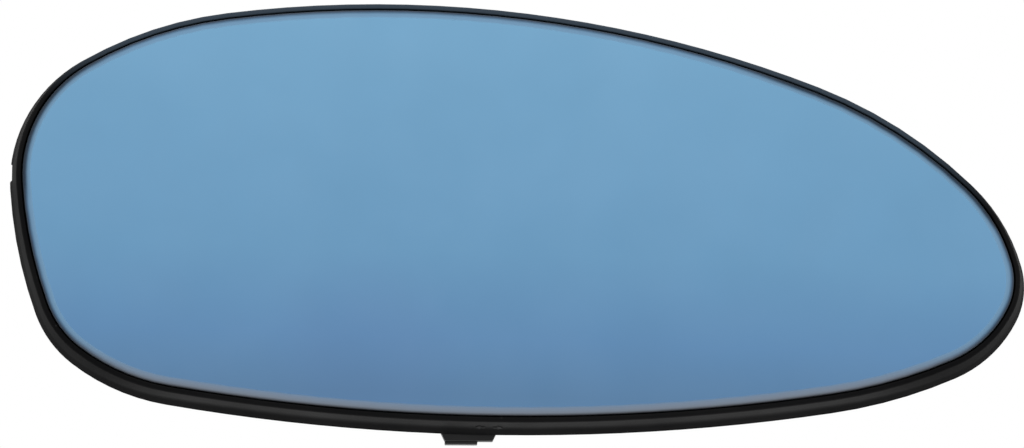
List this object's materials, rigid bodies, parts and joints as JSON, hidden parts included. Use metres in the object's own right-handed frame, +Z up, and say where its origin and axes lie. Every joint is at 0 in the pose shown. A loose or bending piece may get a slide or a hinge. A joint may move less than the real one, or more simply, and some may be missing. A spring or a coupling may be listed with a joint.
{
  "type": "car door mirror glass",
  "caption": "Heated convex blue-tinted mirror glass on a black backing plate with a round actuator socket, a turning lock ring and two heater terminals.",
  "frame": {"origin": "on the axis of the actuator socket, midway along its clear bore", "axes": "+X along the glass towards its pointed end, +Y out of the back of the mirror along the socket's axis, +Z up; the glass faces -Y"},
  "size_m": [0.198, 0.0143, 0.0873],
  "materials": {
    "mirror_glass": "polished blue-tinted mirror with a ground edge",
    "heater_foil": "amber film with printed tracks",
    "bonding_pad": "closed-cell foam tape",
    "backing_plate": "satin black moulding",
    "lock_ring": "satin dark grey moulding",
    "terminal": "tinned brass",
    "rivet": "plain brass eyelet"
  },
  "bodies": {
    "mirror": {"mirror_glass": "mirror_glass", "heater_foil": "heater_foil", "bonding_pad": "bonding_pad", "backing_plate": "backing_plate", "heater_terminal_left": "terminal", "heater_terminal_right": "terminal", "terminal_rivet_left": "rivet", "terminal_rivet_right": "rivet"},
    "lock_ring": {"lock_ring": "lock_ring"}
  },
  "joints": [
    {"name": "lock_ring_turn", "type": "hinge", "parent": "mirror", "child": "lock_ring", "pos_m": [0, 0, 0], "axis": [0, -1, 0], "range_deg": [0, 20]}
  ]
}
